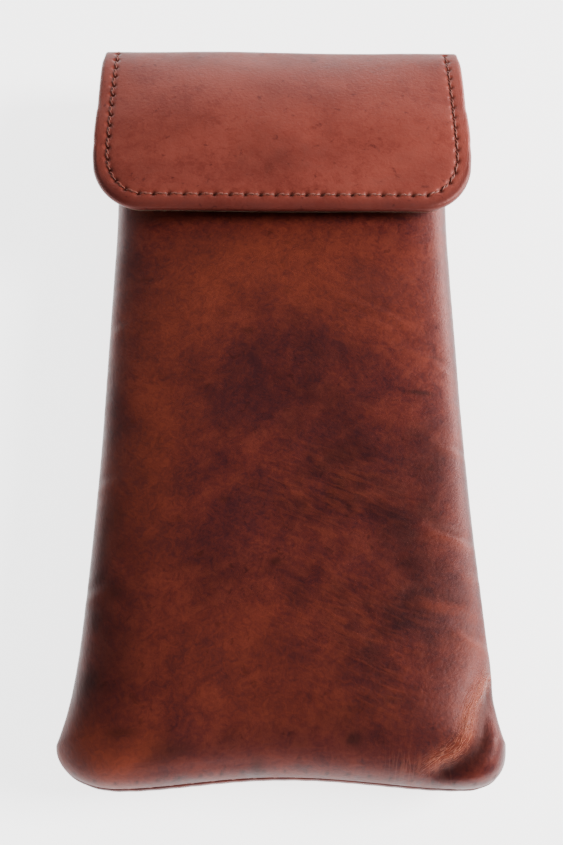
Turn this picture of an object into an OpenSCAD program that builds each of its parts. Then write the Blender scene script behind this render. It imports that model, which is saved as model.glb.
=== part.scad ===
// Soft eyeglasses case: a turned leather pouch, closed by a flap with a magnetic snap.
// It lies on its back. X runs across it, +Y points to the fold of the flap, +Z up.
// The origin is on the resting plane, under the middle of the case. Millimetres.

/* [Case] */
// Length from the bottom seam to the fold of the flap
case_l = 182; // [170:1:195]
// Width of the flap, which is the width of the pouch laid flat
flat_w = 88; // [84:1:92]
// Width at the waist, where the filled pouch is narrowest
waist_w = 77.4; // [74:0.2:80]
// Thickness of the filled pouch
body_t = 22; // [20:0.5:24]

/* [Layers] */
// Thickness of the outer leather
leather_t = 1.3; // [1.0:0.1:1.6]
// Thickness of the foam padding
padding_t = 1.5; // [1.5:0.1:2.0]
// Thickness of the suede lining
lining_t = 0.6; // [0.5:0.1:0.8]

/* [Flap] */
// Reach of the flap from the fold to its front edge
flap_l = 56.5; // [52:0.5:60]
// Thickness of the stiffening board between flap leather and flap lining
board_t = 0.9; // [0.9:0.1:1.2]
// Thickness of the flap lining
flap_lining_t = 0.7; // [0.6:0.1:0.9]
// Length of one flap corner along the side
flap_corner_l = 17; // [12:1:20]
// Length of one flap corner along the front edge
flap_corner_w = 12.5; // [9:0.5:16]
// How far the flap's sides hang below its middle
flap_droop = 2.6; // [1:0.2:3.4]

/* [Stitching] */
// Distance from one stitch to the next
stitch_pitch = 3.5; // [3:0.1:4.5]
// Diameter of the thread
thread_d = 0.7; // [0.5:0.1:0.8]
// Distance of the topstitching from an edge
stitch_inset = 3.2; // [2.8:0.1:4]

/* [Snap] */
// Diameter of the snap's socket
socket_d = 14; // [12:0.5:15]
// Height of the socket above the leather
socket_h = 2.0; // [2.0:0.1:2.4]
// Distance of the snap from the flap's front edge
snap_reach = 16.5; // [14:0.5:18]

/* [Hidden] */
$fn = 48;

// Ends of the case, the mouth edge of the front, and the length of the rounded bottom end
bottom_y = -case_l / 2;
fold_y = case_l / 2;
mouth_y = fold_y - 13;
end_l = 25;

// Bottom corners: each stands out beyond the waist as an ear
ear_w = 11.5;
ear_l = 8;
ear_top_y = bottom_y + ear_l;
bottom_hollow = 1.7;
waist_y = -5;
side_flare = 2.6;
ear_flare = flat_w / 2 - waist_w / 2 - side_flare;
ear_power = 10;
mouth_flare = 3;
mouth_flare_y = 30;

// Heights of the seam, of the front and of the back; the back is flattened where it rests
seam_mid_z = body_t / 2;
seam_gap = thread_d + 0.3;
seam_end_drop = 2.6;
seam_end_y = -50;
seam_mouth_drop = 3;
seam_mouth_y = 40;
seam_drop_l = 40;
front_mouth_drop = 4;
front_drop_y = 59;
back_dip = 0.6;
back_mouth_rise = 1.6;
back_rise_y = 52;

// How full the padded edges are: a higher power makes a squarer edge
end_power = 2.5;
front_power = 3.2;
back_power = 3.6;

// The fold: two bends with a short upright spine between them
fold_r = 6;
bend_y = fold_y - fold_r;
low_bend_z = 9;
low_bend_from = -80;
low_hinge_a = low_bend_from / 2;
strip_from_y = mouth_y - 2;
strip_to_y = bend_y - 1;
flap_peak_y = fold_y - 36;
flap_rise = 7;
flap_rise_l = 32;
high_bend_to = 90 - atan(2 * flap_rise / flap_rise_l);
high_hinge_a = high_bend_to / 2;
flap_start_y = bend_y + fold_r * cos(high_bend_to);

// The flap's thickness and heights
flap_t = leather_t + board_t + flap_lining_t;
flap_front_y = fold_y - flap_l;
flap_bow = 0.8;
flap_front_drop = 0.8;
flap_front_l = 6;
flap_droop_l = 22;
snap_y = flap_front_y + snap_reach;
snap_face_z = body_t + socket_h;
snap_slack = 0.1;
stud_plate_t = 0.6;
stud_gap = 0.12;
flap_peak_z = snap_face_z + snap_slack + stud_plate_t + stud_gap + flap_t;
high_bend_z = flap_peak_z - flap_rise * pow((flap_start_y - flap_peak_y) / flap_rise_l, 2)
            - fold_r * sin(high_bend_to);

// Depths of the layers below the outer face of the leather
padding_d = leather_t;
lining_d = leather_t + padding_t;
inner_d = lining_d + lining_t;
flap_lining_d = leather_t + board_t;

// Snap
gap = 0.05;
shell_t = 0.3;
socket_hole_r = 2.6;
base_t = 0.4;
nub_r = 1.9;
nub_tip_r = 1.5;
nub_h = 1.4;
prong_w = 3;
prong_t = 0.35;
prong_x = 3.4;
prong_tab_l = 2.6;
washer_r = 7;
washer_t = 0.4;
patch_w = 22;
patch_l = 18;
patch_t = 0.5;
padding_cutout_r = 15;
board_cutout_r = 7.6;

// Colours
leather = [0.42, 0.15, 0.10];
flap_leather = [0.52, 0.22, 0.17];
suede = [0.55, 0.33, 0.22];
foam = [0.80, 0.78, 0.72];
thread = [0.45, 0.22, 0.13];
steel = [0.72, 0.70, 0.66];
brass = [0.76, 0.62, 0.38];
ferrite = [0.16, 0.15, 0.15];
card = [0.50, 0.42, 0.33];

// Columns of every sheet, closer together towards its sides
columns = 20;
us = [for (i = [0 : columns]) sin(-90 + 180 * i / columns)];

// Rows of the pouch: distances from its bottom edge, then places along it
end_rows = [0, 0.8, 2.4, 5, 8.5, 13, 18.5];
middle_y = [-58, -50, -40, -20, 0, 20, 34, 40, 46, 52, 59, 65.5];
padding_end_y = mouth_y - 6;
strip_y = [mouth_y + 2, mouth_y + 4.5];
padding_rows = concat(middle_y, [padding_end_y]);
front_rows = concat(padding_rows, [mouth_y]);
back_rows = concat(front_rows, strip_y);
bend_steps = 3;

// Rows of the flap: distances from its front edge, then shares of the way to the fold
flap_end_rows = [0, 0.6, 2, 5, 10];
flap_end_l = 23;
flap_shares = [0, 0.25, 0.5, 0.75];
board_row = 3;
board_column = 3;

function clamp01(t) = max(0, min(1, t));
function ease(t) = let (c = clamp01(t)) c * c * (3 - 2 * c);
function mix(a, b, t) = a + (b - a) * t;
// Share of the full height near a padded edge: 0 at the edge, 1 from t = 1 on
function pillow(t, n) = pow(1 - pow(1 - clamp01(t), n), 1 / n);
// Part of a grid: rows j0 to j1, columns i0 to i1
function part(g, j0, j1, i0, i1) = [for (j = [j0 : j1]) [for (i = [i0 : i1]) g[j][i]]];

// The pouch's outline at its seam
function seam_half_w(y) =
    let (t = clamp01((waist_y - y) / (waist_y - ear_top_y)),
         m = clamp01((y - mouth_flare_y) / (mouth_y - mouth_flare_y)))
    waist_w / 2 + side_flare * pow(t, 2) + ear_flare * pow(t, ear_power) + mouth_flare * pow(m, 2);
function seam_z(y) = seam_mid_z - seam_end_drop * ease((seam_end_y - y) / seam_drop_l)
                   - seam_mouth_drop * ease((y - seam_mouth_y) / (mouth_y - seam_mouth_y));
function bottom_edge(u, d) =
    let (x = abs(u) * flat_w / 2, from = flat_w / 2 - ear_w)
    x < from ? bottom_y + d + bottom_hollow * pow(1 - pow(x / from, 2), 2)
             : ear_top_y - (ear_l - d) * sqrt(max(0, 1 - pow((x - from) / ear_w, 2)));
function front_z(y) =
    body_t - front_mouth_drop * pow(clamp01((y - front_drop_y) / (mouth_y - front_drop_y)), 2);
function back_z(y) =
    -back_dip + back_mouth_rise * pow(clamp01((y - back_rise_y) / (mouth_y - back_rise_y)), 2);

// Row j of the pouch at column u, for a surface at depth d
function row_y(u, j, d, rows) =
    j < len(end_rows) ? mix(bottom_edge(u, d), bottom_edge(u, 0) + end_l, end_rows[j] / end_l)
                      : rows[j - len(end_rows)];
function row_height(j) = j < len(end_rows) ? pillow(end_rows[j] / end_l, end_power) : 1;
function row_count(rows) = len(end_rows) + len(rows);

function front_surface_z(u, y, d) =
    mix(seam_z(y) + seam_gap / 2, front_z(y) - d, pillow(1 - abs(u), front_power));
function front_point(u, j, d, rows) =
    let (y = row_y(u, j, d, rows), edge_z = seam_z(y) + seam_gap / 2)
    [u * (seam_half_w(y) - d), y, mix(edge_z, front_surface_z(u, y, d), row_height(j))];
function front_grid(d, rows) =
    [for (j = [0 : row_count(rows) - 1]) [for (u = us) front_point(u, j, d, rows)]];

// The back runs out of the mouth as a strip, and is flat across where it folds
function strip_z(y) = low_bend_z + fold_r * sin(low_bend_from)
                    - tan(90 + low_bend_from) * (bend_y + fold_r * cos(low_bend_from) - y);
function back_point(u, j, d, rows) =
    let (y = row_y(u, j, d, rows), in_y = min(y, mouth_y),
         s = ease((y - strip_from_y) / (strip_to_y - strip_from_y)),
         h = pillow(1 - abs(u), back_power) * row_height(j),
         z = mix(seam_z(in_y) - seam_gap / 2, back_z(in_y) + d, h),
         w = mix(seam_half_w(in_y) - d, flat_w / 2, s))
    [u * w, y, mix(d > 0 ? max(z, d) : z, strip_z(y) + d, s)];
function low_bend_grid(d, from, to) =
    [for (k = [0 : bend_steps]) let (a = mix(from, to, k / bend_steps))
        [for (u = us) bend_point(u, low_bend_z, a, d)]];
function bend_point(u, z, a, d) =
    [u * flat_w / 2, bend_y + (fold_r - d) * cos(a), z + (fold_r - d) * sin(a)];
function back_grid(d, rows) =
    [for (j = [0 : row_count(rows) - 1]) [for (u = us) back_point(u, j, d, rows)]];
// The back's lining comes to lie on the leather beyond the padding
function back_lining_d(j, inside_d, strip_d) =
    mix(inside_d, strip_d, clamp01((j - row_count(padding_rows) + 1) / 3));
function back_lining_grid(inside_d, strip_d) = concat(
    [for (j = [0 : row_count(back_rows) - 1])
        [for (u = us) back_point(u, j, back_lining_d(j, inside_d, strip_d), back_rows)]],
    low_bend_grid(strip_d, low_bend_from, low_hinge_a));

// The flap's front edge, its top face and its rows
function flap_edge(u) =
    let (x = abs(u) * flat_w / 2, from = flat_w / 2 - flap_corner_w)
    x < from ? flap_front_y + flap_bow * pow(x / from, 2)
             : flap_front_y + flap_corner_l
               - (flap_corner_l - flap_bow) * sqrt(max(0, 1 - pow((x - from) / flap_corner_w, 2)));
function flap_top_z(x, y) =
    flap_peak_z - flap_rise * pow(max(0, y - flap_peak_y) / flap_rise_l, 2)
    - flap_front_drop * pow(max(0, flap_front_y + flap_front_l - y) / flap_front_l, 2)
    - flap_droop * pow(abs(x) / (flat_w / 2), 3) * ease((flap_start_y - y) / flap_droop_l);
function flap_row_y(u, j) =
    let (end_y = flap_front_y + flap_end_l, n = len(flap_end_rows))
    j < n ? mix(flap_edge(u), end_y, flap_end_rows[j] / flap_end_l)
          : mix(end_y, flap_start_y, flap_shares[j - n]);
flap_row_n = len(flap_end_rows) + len(flap_shares);
// Beyond the board the lining lies on the leather
function flap_depth(i, j, d) =
    let (edge = i < board_column || i > columns - board_column || j < board_row || j >= flap_row_n)
    d > leather_t && edge ? d - board_t : d;
function flap_grid(d) = concat(
    [for (j = [0 : flap_row_n - 1]) [for (i = [0 : columns])
        let (x = us[i] * flat_w / 2, y = flap_row_y(us[i], j))
        [x, y, flap_top_z(x, y) - flap_depth(i, j, d)]]],
    [for (k = [0 : bend_steps]) let (a = mix(high_bend_to, high_hinge_a, k / bend_steps))
        [for (u = us) bend_point(u, high_bend_z, a, flap_depth(0, flap_row_n, d))]]);
function fold_grid(d) = concat(
    low_bend_grid(d, low_hinge_a, 0),
    [for (k = [0 : bend_steps]) let (a = mix(0, high_hinge_a, k / bend_steps))
        [for (u = us) bend_point(u, high_bend_z, a, d)]]);

// A closed sheet between two grids of the same size, the first one on its outer side
module sheet(outer, inner) {
    n = len(outer[0]);
    m = len(outer);
    size = n * m;
    function at(j, i) = j * n + i;
    faces = concat(
        [for (j = [0 : m - 2]) for (i = [0 : n - 2]) each [
            [at(j, i), at(j + 1, i), at(j + 1, i + 1)], [at(j, i), at(j + 1, i + 1), at(j, i + 1)],
            [size + at(j, i), size + at(j + 1, i + 1), size + at(j + 1, i)],
            [size + at(j, i), size + at(j, i + 1), size + at(j + 1, i + 1)]]],
        [for (i = [0 : n - 2]) each [
            [at(0, i), at(0, i + 1), size + at(0, i + 1)], [at(0, i), size + at(0, i + 1), size + at(0, i)],
            [at(m - 1, i + 1), at(m - 1, i), size + at(m - 1, i)],
            [at(m - 1, i + 1), size + at(m - 1, i), size + at(m - 1, i + 1)]]],
        [for (j = [0 : m - 2]) each [
            [at(j + 1, 0), at(j, 0), size + at(j, 0)], [at(j + 1, 0), size + at(j, 0), size + at(j + 1, 0)],
            [at(j, n - 1), at(j + 1, n - 1), size + at(j + 1, n - 1)],
            [at(j, n - 1), size + at(j + 1, n - 1), size + at(j, n - 1)]]]);
    polyhedron(points = concat([for (r = outer) each r], [for (r = inner) each r]), faces = faces);
}

// One stitch between two needle holes, and a row of them
module stitch(p, q) {
    v = q - p;
    l = norm(v);
    translate(mix(p, q, 0.14))
        rotate([0, acos(v[2] / l), atan2(v[1], v[0])])
            cylinder(d = thread_d, h = 0.72 * l);
}
module stitch_row(points) {
    for (k = [0 : len(points) - 2]) stitch(points[k], points[k + 1]);
}
function steps(from, to) =
    let (n = max(1, round(abs(to - from) / stitch_pitch))) [for (k = [0 : n]) mix(from, to, k / n)];

// Pouch: leather, padding and lining, sewn together at the sides and the bottom
module prong_slits() {
    for (side = [-1, 1])
        translate([side * prong_x - prong_t / 2 - gap, snap_y - prong_w / 2 - gap, 0])
            cube([prong_t + 2 * gap, prong_w + 2 * gap, 2 * body_t]);
}
module front_panel() {
    color(leather) difference() {
        sheet(front_grid(0, front_rows), front_grid(padding_d, front_rows));
        prong_slits();
    }
}
module back_panel() {
    color(leather) difference() {
        sheet(concat(back_grid(leather_t, back_rows), low_bend_grid(leather_t, low_bend_from, low_hinge_a)),
              concat(back_grid(0, back_rows), low_bend_grid(0, low_bend_from, low_hinge_a)));
        translate([-flat_w, -case_l, -case_l]) cube([2 * flat_w, 2 * case_l, case_l]);
    }
}
module front_padding() {
    color(foam) difference() {
        sheet(front_grid(padding_d, padding_rows), front_grid(lining_d, padding_rows));
        translate([0, snap_y, body_t / 2]) cylinder(r = padding_cutout_r, h = body_t);
    }
}
module back_padding() {
    color(foam) sheet(back_grid(lining_d, padding_rows), back_grid(padding_d, padding_rows));
}
module front_lining() {
    color(suede) sheet(front_grid(lining_d, front_rows), front_grid(inner_d, front_rows));
}
module back_lining() {
    color(suede) sheet(back_lining_grid(inner_d, leather_t + flap_lining_t),
                       back_lining_grid(lining_d, leather_t));
}

// The seam's stitches lie between the two leathers, all the way round
module seam_thread() {
    d = leather_t / 2;
    from = flat_w / 2 - ear_w;
    function side(s, y) = [s * (seam_half_w(y) - d), y, seam_z(y)];
    function ear(s, a) =
        let (y = ear_top_y - (ear_l - d) * cos(a)) [s * (from + (ear_w - d) * sin(a)), y, seam_z(y)];
    function bottom(x) = let (y = bottom_edge(x / (flat_w / 2), d)) [x, y, seam_z(y)];
    ear_angles = [0, 22, 45, 67, 90];
    color(thread) {
        for (s = [-1, 1]) {
            stitch_row([for (y = steps(mouth_y - 1, ear_top_y)) side(s, y)]);
            stitch_row([for (a = ear_angles) ear(s, a)]);
        }
        stitch_row([for (x = steps(-from, from)) bottom(x)]);
    }
}
module mouth_thread() {
    y = mouth_y - stitch_inset;
    half = 0.86 * seam_half_w(y);
    color(thread) stitch_row([for (x = steps(-half, half))
        [x, y, front_surface_z(x / seam_half_w(y), y, 0) + thread_d / 2 + gap]]);
}

// Snap, lower half: a ring magnet crimped into a shell, held by two prongs bent over a washer
module prongs(top_z, leg_h) {
    for (side = [-1, 1]) {
        translate([side * prong_x - prong_t / 2, snap_y - prong_w / 2, top_z - leg_h])
            cube([prong_t, prong_w, leg_h]);
        translate([min(side, 0) * prong_tab_l + side * prong_x, snap_y - prong_w / 2, top_z - leg_h])
            cube([prong_tab_l, prong_w, prong_t]);
    }
}
module washer(z) {
    translate([0, snap_y, z]) difference() {
        cylinder(r = washer_r, h = washer_t);
        for (side = [-1, 1])
            translate([side * prong_x - prong_t / 2 - gap, -prong_w / 2 - gap, -1])
                cube([prong_t + 2 * gap, prong_w + 2 * gap, washer_t + 2]);
    }
}
module socket_shell() {
    r = socket_d / 2;
    color(brass) translate([0, snap_y, body_t]) difference() {
        cylinder(r = r, h = socket_h);
        translate([0, 0, -1]) cylinder(r = r - shell_t, h = socket_h - shell_t + 1);
        cylinder(r = socket_hole_r, h = 2 * socket_h);
    }
}
module socket_magnet() {
    color(ferrite) translate([0, snap_y, body_t + base_t]) difference() {
        cylinder(r = socket_d / 2 - shell_t, h = socket_h - shell_t - base_t);
        translate([0, 0, -1]) cylinder(r = socket_hole_r, h = 2 * socket_h);
    }
}
module socket_base() {
    leg_h = leather_t + washer_t + 2 * gap + prong_t;
    color(steel) union() {
        translate([0, snap_y, body_t]) cylinder(r = socket_d / 2 - shell_t, h = base_t);
        prongs(body_t, leg_h);
    }
}
module socket_washer() { color(steel) washer(body_t - leather_t - gap - washer_t); }
module socket_patch() {
    z = body_t - leather_t - washer_t - prong_t - 3 * gap - patch_t;
    color(card) translate([-patch_w / 2, snap_y - patch_l / 2, z]) cube([patch_w, patch_l, patch_t]);
}

// Fold: the leather and the lining between the two lines where the flap bends
module fold_leather() { color(leather) sheet(fold_grid(leather_t), fold_grid(0)); }
module fold_lining() { color(suede) sheet(fold_grid(leather_t + flap_lining_t), fold_grid(leather_t)); }
module fold_thread() {
    d = -thread_d / 2 - 3 * gap;
    u = 1 - stitch_inset / (flat_w / 2);
    low = [low_hinge_a * 0.95, low_hinge_a / 2, 0];
    high = [0, high_hinge_a / 2, high_hinge_a * 0.95];
    color(thread) for (s = [-1, 1])
        stitch_row(concat([for (a = low) bend_point(s * u, low_bend_z, a, d)],
                          [for (a = high) bend_point(s * u, high_bend_z, a, d)]));
}

// Flap: leather, board and lining, topstitched near the edge
module flap_panel() { color(flap_leather) sheet(flap_grid(leather_t), flap_grid(0)); }
module flap_board() {
    last = columns - board_column;
    color(card) difference() {
        sheet(part(flap_grid(flap_lining_d), board_row, flap_row_n - 1, board_column, last),
              part(flap_grid(leather_t), board_row, flap_row_n - 1, board_column, last));
        translate([0, snap_y, body_t]) cylinder(r = board_cutout_r, h = body_t);
    }
}
module flap_lining() {
    color(suede) difference() {
        sheet(flap_grid(flap_t), flap_grid(flap_lining_d));
        prong_slits();
    }
}
module flap_thread() {
    in = stitch_inset;
    x0 = flat_w / 2 - flap_corner_w;
    y0 = flap_front_y + flap_corner_l;
    angles = [0, 20, 40, 60, 78, 90];
    ys = steps(flap_start_y - 1, y0);
    function side(s, y) = [s * (flat_w / 2 - in), y];
    function corner(s, a) =
        [s * (x0 + (flap_corner_w - in) * cos(a)), y0 - (flap_corner_l - flap_bow - in) * sin(a)];
    function front(x) = [x, flap_edge(x / (flat_w / 2)) + in];
    function on_top(p) = [p[0], p[1], flap_top_z(p[0], p[1]) + thread_d / 2 + gap];
    color(thread) {
        for (s = [-1, 1]) {
            stitch_row([for (y = ys) on_top(side(s, y))]);
            stitch_row([for (a = angles) on_top(corner(s, a))]);
        }
        stitch_row([for (x = steps(-x0, x0)) on_top(front(x))]);
    }
}

// Snap, upper half
module stud_plate() {
    color(brass) translate([0, snap_y, snap_face_z + snap_slack]) cylinder(d = socket_d, h = stud_plate_t);
}
module stud_nub() {
    color(brass) translate([0, snap_y, snap_face_z + snap_slack - nub_h])
        cylinder(r1 = nub_tip_r, r2 = nub_r, h = nub_h);
}
module stud_prongs() {
    base_z = snap_face_z + snap_slack + stud_plate_t;
    leg_h = stud_gap + flap_lining_t + washer_t + 2 * gap + prong_t;
    color(steel) translate([0, 0, 2 * base_z]) mirror([0, 0, 1]) prongs(base_z, leg_h);
}
module stud_washer() { color(steel) washer(flap_peak_z - flap_lining_d + gap); }

front_panel();
back_panel();
front_padding();
back_padding();
front_lining();
back_lining();
seam_thread();
mouth_thread();
socket_shell();
socket_magnet();
socket_base();
socket_washer();
socket_patch();
fold_leather();
fold_lining();
fold_thread();
flap_panel();
flap_board();
flap_lining();
flap_thread();
stud_plate();
stud_nub();
stud_prongs();
stud_washer();
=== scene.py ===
import math

import bpy
import numpy as np
from mathutils import Matrix, Vector


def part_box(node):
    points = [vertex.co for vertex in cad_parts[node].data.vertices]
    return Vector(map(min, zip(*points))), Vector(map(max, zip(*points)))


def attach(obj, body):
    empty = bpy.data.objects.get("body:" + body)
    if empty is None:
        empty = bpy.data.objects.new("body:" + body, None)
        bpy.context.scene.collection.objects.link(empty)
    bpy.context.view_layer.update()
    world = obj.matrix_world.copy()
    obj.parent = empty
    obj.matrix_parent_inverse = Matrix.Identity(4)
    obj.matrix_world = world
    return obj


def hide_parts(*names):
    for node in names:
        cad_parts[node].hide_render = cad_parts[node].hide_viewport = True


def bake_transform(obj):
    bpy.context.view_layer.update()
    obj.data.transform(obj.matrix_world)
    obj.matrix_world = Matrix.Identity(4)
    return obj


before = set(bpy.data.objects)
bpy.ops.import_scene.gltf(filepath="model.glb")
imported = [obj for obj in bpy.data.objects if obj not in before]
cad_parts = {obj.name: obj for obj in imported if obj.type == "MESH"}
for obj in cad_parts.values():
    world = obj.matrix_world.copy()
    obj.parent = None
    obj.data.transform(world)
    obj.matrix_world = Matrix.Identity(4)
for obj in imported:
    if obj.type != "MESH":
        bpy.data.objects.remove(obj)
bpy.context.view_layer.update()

# Lengths below are in millimetres, and turn into metres where a mesh is made.
MM = 0.001


def box_mm(node):
    low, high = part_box(node)
    return np.array(low) / MM, np.array(high) / MM


# ---------------------------------------------------------------- sizes, from the frame

front_low, front_high = box_mm("front_panel")
flap_low, flap_high = box_mm("flap_panel")
plate_low, plate_high = box_mm("stud_plate")
socket_low, socket_high = box_mm("socket_shell")
nub_low, nub_high = box_mm("stud_nub")

HALF = (flap_high[0] - flap_low[0]) / 2
BOTTOM_Y, MOUTH_Y, FOLD_Y = front_low[1], front_high[1], box_mm("fold_leather")[1][1]
BODY_T = front_high[2]
SNAP_Y = (plate_low[1] + plate_high[1]) / 2
FLAP_FRONT_Y = flap_low[1]
FLAP_PEAK_Z = flap_high[2]

# The pouch's outline: narrow at the waist, wider to both ends, with an ear at each bottom corner
WAIST, WAIST_Y = 38.7, -5.0
SIDE_FLARE, MOUTH_FLARE, MOUTH_FLARE_Y = 2.6, 3.0, 30.0
EAR_FLARE, EAR_FLARE_POWER = HALF - WAIST - SIDE_FLARE, 10
EAR_W, RIGHT_EAR_W, EAR_L = 12.3, 9.4, 8.0
EAR_POWER, RIGHT_EAR_POWER = 2.0, 2.5
EAR_Y = BOTTOM_Y + EAR_L
RIGHT_TUCK, TUCK_Y, TUCK_L = 1.2, -66.0, 16.0
BOTTOM_HOLLOW = 2.2

# Heights along it: the seam drops to both ends, and to the mouth the front drops and the back rises
SEAM_Z, SEAM_LIFT = BODY_T / 2, 0.75
SEAM_END_DROP, SEAM_END_Y, SEAM_END_L = 2.6, -50.0, 40.0
SEAM_MOUTH_DROP, SEAM_MOUTH_Y = 3.0, 40.0
FRONT_MOUTH_DROP, FRONT_DROP_Y = 4.0, 59.0
BACK_DIP, BACK_MOUTH_RISE, BACK_RISE_Y = 0.6, 1.6, 52.0

# Reach of the padded bottom end, and how full the padded edges are: a higher power makes a squarer edge
END_L = 25.0
FRONT_POWER, BACK_POWER, END_POWER = 3.2, 3.6, 2.5

# The fold, with its two bends, and the flap
FOLD_R = 6.0
BEND_Y = FOLD_Y - FOLD_R
LOW_BEND_Z, LOW_BEND_FROM = 9.0, math.radians(-80)
BEND_FROM_Y = BEND_Y + FOLD_R * math.cos(LOW_BEND_FROM)
PEAK_Y = FOLD_Y - 36
RISE, RISE_L = 7.0, 32.0
HIGH_BEND_TO = math.pi / 2 - math.atan(2 * RISE / RISE_L)
FLAP_START_Y = BEND_Y + FOLD_R * math.cos(HIGH_BEND_TO)
FLAP_START_Z = FLAP_PEAK_Z - RISE * ((FLAP_START_Y - PEAK_Y) / RISE_L) ** 2
HIGH_BEND_Z = FLAP_START_Z - FOLD_R * math.sin(HIGH_BEND_TO)
SPLIT_Z = (LOW_BEND_Z + HIGH_BEND_Z) / 2
CORNER_L, CORNER_W, BOW = 17.0, 12.5, 0.8
DROOP, DROOP_L = 2.6, 22.0
FRONT_DROP, FRONT_DROP_L = 0.8, 6.0
BOARD_RAMP = 4.0   # length over which the flap's lining rises onto the board

# Thicknesses and stitching
LEATHER_T, SUEDE_T, LINING_T, PAD_T, BOARD_T = 1.3, 0.6, 0.7, 1.5, 0.9
STRIP_HALF = HALF - LEATHER_T / 2
INSET, PITCH, SEAM_PITCH = 3.2, 3.5, 4.0
THREAD_R = 0.34

FINE = 0.42        # spacing of the visible leather's mesh
PLAIN = 0.9        # spacing of the other sheets' meshes
ROUND_STEPS = 6    # steps round a sheet's edge
INNER_STEP = 6     # outer faces, each way, to one face of a sheet's hidden side
CORNER_REACH = 5   # points beside a sheet's corner over which its edge turns

UV_LENGTH = 100.0  # flat length to one unit of the flat coordinates
SPLIT_RUN = 200.0  # flat length given to the line where the back leather and the flap leather meet


# ---------------------------------------------------------------- small mathematics

def ease(t):
    t = np.clip(t, 0, 1)
    return t * t * (3 - 2 * t)


def mix(a, b, t):
    return a + (b - a) * t


def bell(d, width):
    return np.exp(-((d / width) ** 2))


def pillow(t, power):
    return (1 - (1 - np.clip(t, 0, 1)) ** power) ** (1 / power)


def noise(x, y, cell, seed):
    """Smooth noise from -1 to 1 whose bumps are about one cell wide."""
    table = np.random.default_rng(seed).uniform(-1, 1, (256, 256))
    gx, gy = np.asarray(x) / cell + 1000.5, np.asarray(y) / cell + 1000.5
    ix, iy = np.floor(gx).astype(int), np.floor(gy).astype(int)
    fx, fy = gx - ix, gy - iy
    wx, wy = (f ** 3 * (f * (6 * f - 15) + 10) for f in (fx, fy))
    a, b = ix % 256, iy % 256
    c, d = (a + 1) % 256, (b + 1) % 256
    return mix(mix(table[a, b], table[c, b], wx), mix(table[a, d], table[c, d], wx), wy)


def unit(v):
    """v at length 1, or each of its rows."""
    return v / np.maximum(np.linalg.norm(v, axis=-1, keepdims=True), 1e-9)


def path_lengths(points):
    """Length along the path through points, at each of them."""
    return np.r_[0, np.cumsum(np.linalg.norm(np.diff(points, axis=0), axis=1))]


def even_steps(t, points, step):
    """Values of t that cut the curve through points into equal steps, a multiple of INNER_STEP in number."""
    run = path_lengths(points)
    count = INNER_STEP * max(1, round(run[-1] / step / INNER_STEP))
    return np.interp(np.linspace(0, run[-1], count + 1), run, t)


# ---------------------------------------------------------------- the pouch's surfaces

def half_width(y):
    t = np.clip((WAIST_Y - y) / (WAIST_Y - EAR_Y), 0, 1)
    m = np.clip((y - MOUTH_FLARE_Y) / (MOUTH_Y - MOUTH_FLARE_Y), 0, 1)
    return WAIST + SIDE_FLARE * t ** 2 + EAR_FLARE * t ** EAR_FLARE_POWER + MOUTH_FLARE * m ** 2


def seam_height(y):
    at_end = ease((SEAM_END_Y - y) / SEAM_END_L)
    at_mouth = ease((y - SEAM_MOUTH_Y) / (MOUTH_Y - SEAM_MOUTH_Y))
    return SEAM_Z - SEAM_END_DROP * at_end - SEAM_MOUTH_DROP * at_mouth


def bottom_edge(u):
    """The bottom edge's y at column u: hollow in its middle, and an ear to each side."""
    x = np.abs(u) * HALF
    ear_w = np.where(np.asarray(u) > 0, RIGHT_EAR_W, EAR_W)
    power = np.where(np.asarray(u) > 0, RIGHT_EAR_POWER, EAR_POWER)
    ear_x = HALF - ear_w
    t = np.clip((x - ear_x) / ear_w, 0, 1)
    ear = EAR_Y - EAR_L * (1 - t ** power) ** (1 / power)
    middle = BOTTOM_Y + BOTTOM_HOLLOW * np.clip(1 - (x / ear_x) ** 2, 0, 1) ** 2
    return np.where(x < ear_x, middle, ear)


POUCH_L = MOUTH_Y - bottom_edge(0)


def tuck(u, y):
    """How far the right-hand side stays inside the left-hand one's shape, at the corner."""
    return np.where(np.asarray(u) > 0, RIGHT_TUCK * ease((TUCK_Y - y) / TUCK_L), 0)


def front_height(y):
    return BODY_T - FRONT_MOUTH_DROP * np.clip((y - FRONT_DROP_Y) / (MOUTH_Y - FRONT_DROP_Y), 0, 1) ** 2


def back_height(y):
    return -BACK_DIP + BACK_MOUTH_RISE * np.clip((y - BACK_RISE_Y) / (MOUTH_Y - BACK_RISE_Y), 0, 1) ** 2


def across_steps(height, power, step):
    """Columns from -1 to 1, evenly spaced along a padded cross-section."""
    t = np.linspace(0, 1, 3000) ** power
    half = even_steps(t, np.c_[t * WAIST, height * pillow(t, power)], step)
    return np.r_[half - 1, (1 - half)[-2::-1]]


def along_steps(height, end, step):
    """Distances from the bottom edge, evenly spaced along the padded end and the flat beyond it."""
    e = np.r_[END_L * np.linspace(0, 1, 2000) ** END_POWER, np.linspace(END_L, end, 500)[1:]]
    return even_steps(e, np.c_[e, height * pillow(e / END_L, END_POWER)], step)


def flat_lengths(points):
    """Distances along a grid's rows from its middle column, and along its columns from its first row."""
    across = np.pad(np.cumsum(np.linalg.norm(np.diff(points, axis=1), axis=2), axis=1), ((0, 0), (1, 0)))
    along = np.pad(np.cumsum(np.linalg.norm(np.diff(points, axis=0), axis=2), axis=0), ((1, 0), (0, 0)))
    return across - across[:, [points.shape[1] // 2]], along


def grid_normals(points):
    """Unit normals of a grid whose rows run away from the viewer and whose columns run to the right."""
    n = np.cross(np.gradient(points, axis=1), np.gradient(points, axis=0))
    for j, near in ((0, 2), (-1, -3)):
        for i, beside in ((0, 2), (-1, -3)):
            n[j, i] = n[near, beside]
    return unit(n)


# ---------------------------------------------------------------- meshes

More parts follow.
